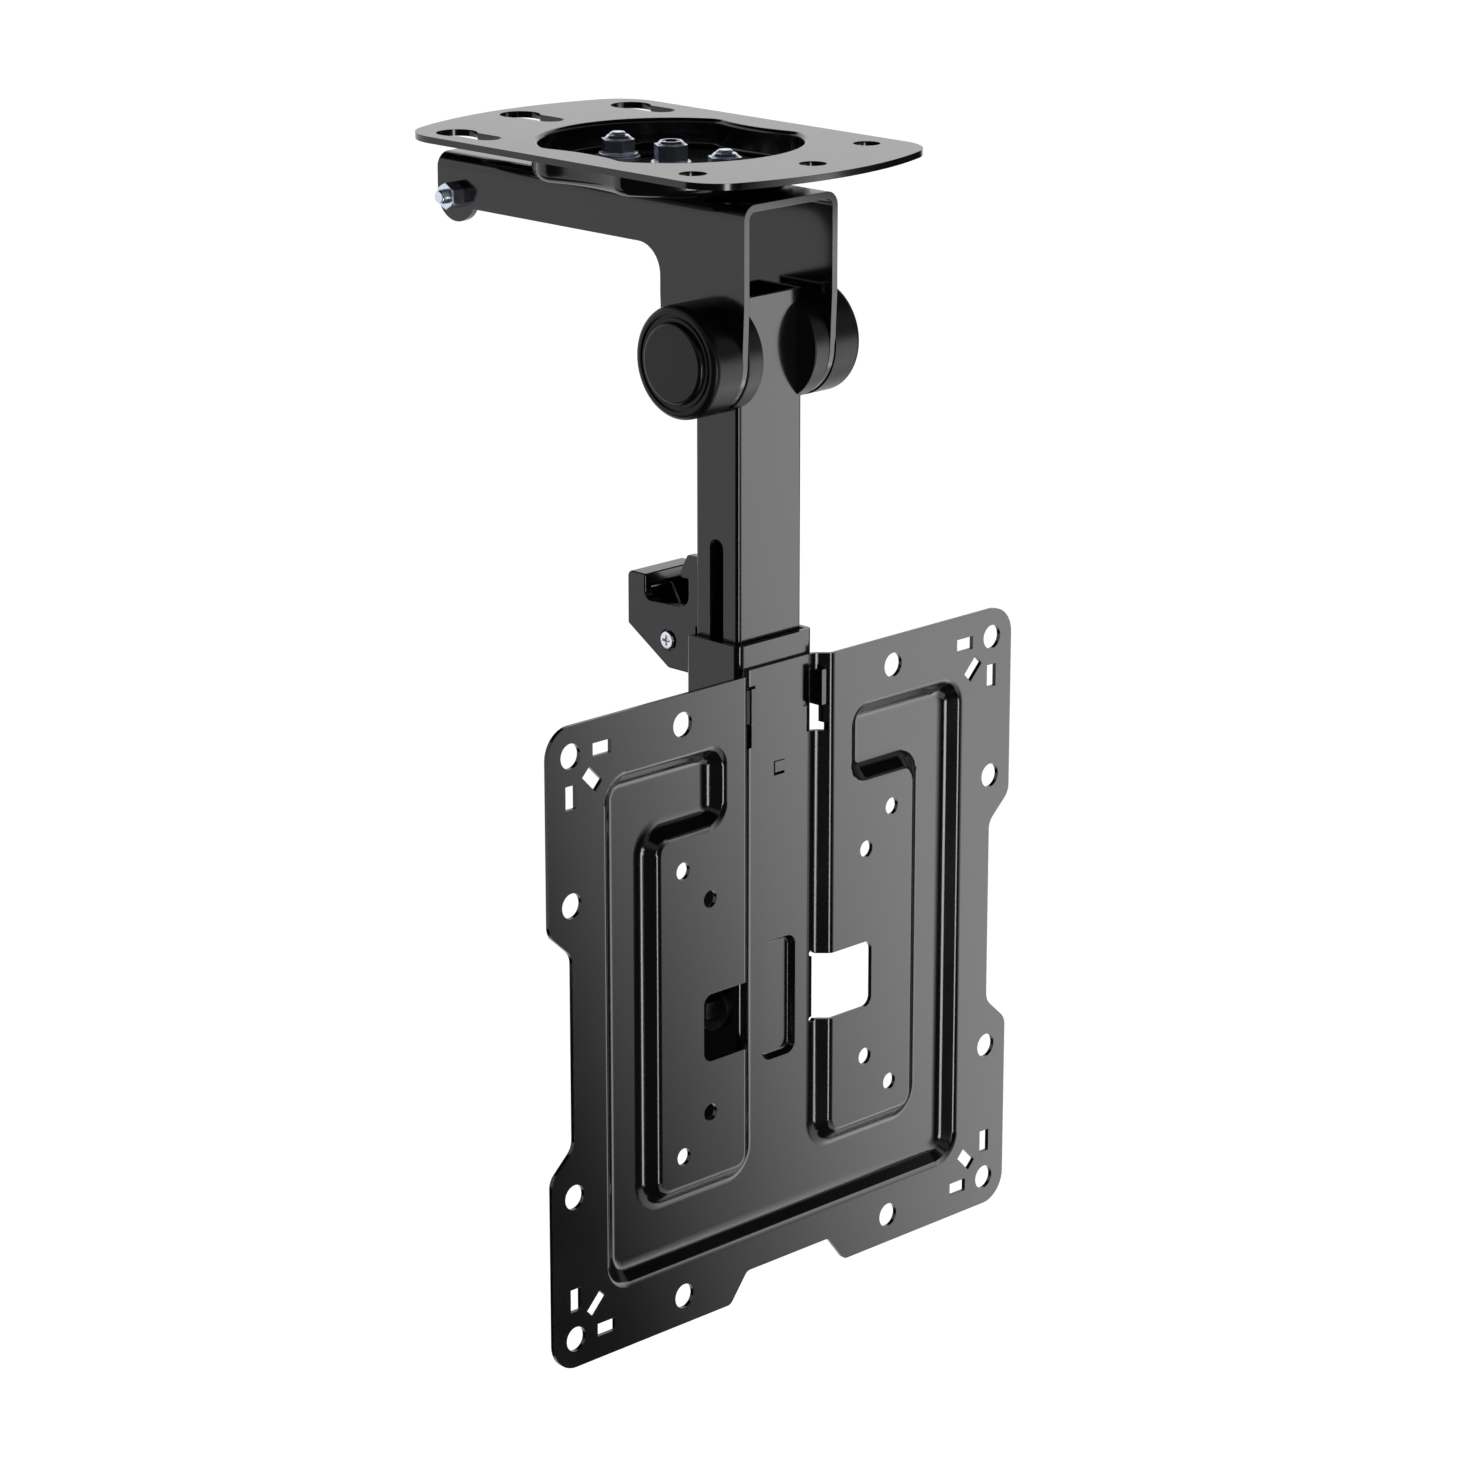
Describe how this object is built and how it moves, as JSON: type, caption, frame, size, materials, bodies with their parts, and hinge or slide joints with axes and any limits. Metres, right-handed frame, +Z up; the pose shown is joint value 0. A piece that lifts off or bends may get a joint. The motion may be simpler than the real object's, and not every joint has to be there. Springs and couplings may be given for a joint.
{
  "type": "folding screen ceiling mount",
  "caption": "Folding ceiling mount for a flat screen: ceiling plate, swivelling bracket, hinged tube with a sliding sleeve and latch lever, and a stamped square screen plate.",
  "frame": {"origin": "on the swivel axis, in the plane of the ceiling face", "axes": "+X to the right of the screen plate seen from the front, -Y towards the viewer of the screen, +Z up to the ceiling; stored with the arm hanging straight down"},
  "size_m": [0.22, 0.1712, 0.388],
  "materials": {
    "ceiling_plate_paint": "satin black powder coat",
    "bracket_paint": "satin black powder coat",
    "tube_paint": "satin black powder coat",
    "sleeve_paint": "satin black powder coat",
    "screen_plate_paint": "satin black powder coat",
    "latch_paint": "satin black powder coat",
    "zinc_hardware": "bright zinc plating",
    "latch_screw_zinc": "bright zinc plating",
    "spring_steel": "drawn spring wire",
    "cover_plastic": "moulded black plastic",
    "cap_plastic": "moulded black plastic",
    "hub_plastic": "moulded black plastic",
    "plug_plastic": "moulded black plastic",
    "glide_plastic": "smooth low-friction plastic",
    "friction_disc": "dull fibre disc"
  },
  "bodies": {
    "ceiling": {"ceiling_plate": "ceiling_plate_paint"},
    "bracket": {"arm_bracket": "bracket_paint", "friction_disc": "friction_disc", "swivel_stud": "zinc_hardware", "guide_studs": "zinc_hardware", "swivel_nut": "zinc_hardware", "guide_nuts": "zinc_hardware", "stud_washers": "zinc_hardware", "striker_bolt": "zinc_hardware", "striker_nut": "zinc_hardware", "pivot_bolt": "zinc_hardware", "pivot_nut": "zinc_hardware", "pivot_washers": "zinc_hardware", "pivot_cover_left": "cover_plastic", "pivot_cover_right": "cover_plastic", "pivot_cap_left": "cap_plastic", "pivot_cap_right": "cap_plastic"},
    "arm": {"inner_tube": "tube_paint", "pivot_hub_left": "hub_plastic", "pivot_hub_right": "hub_plastic", "pivot_spacer": "zinc_hardware", "tube_end_plug": "plug_plastic"},
    "carriage": {"outer_sleeve": "sleeve_paint", "glide_strips": "glide_plastic", "clamp_bolts": "zinc_hardware", "clamp_washers": "zinc_hardware", "clamp_nuts": "zinc_hardware", "vesa_plate": "screen_plate_paint", "latch_bracket": "sleeve_paint", "latch_screw": "latch_screw_zinc", "latch_nut": "zinc_hardware"},
    "latch": {"latch_lever": "latch_paint", "latch_spring": "spring_steel"}
  },
  "joints": [
    {"name": "swivel", "type": "hinge", "parent": "ceiling", "child": "bracket", "pos_m": [0, 0, 0], "axis": [0, 0, 1], "range_deg": [-45, 45]},
    {"name": "fold", "type": "hinge", "parent": "bracket", "child": "arm", "pos_m": [0, -0.0359, -0.0642], "axis": [1, 0, 0], "range_deg": [0, 90]},
    {"name": "height", "type": "slide", "parent": "arm", "child": "carriage", "axis": [0, 0, 1], "range_m": [-0.042, 0.05]},
    {"name": "latch", "type": "hinge", "parent": "carriage", "child": "latch", "pos_m": [0, -0.0105, -0.1657], "axis": [1, 0, 0], "range_deg": [-14.5, 0], "stiffness_Nm_per_rad": 0.3, "springref_deg": 14.32}
  ]
}
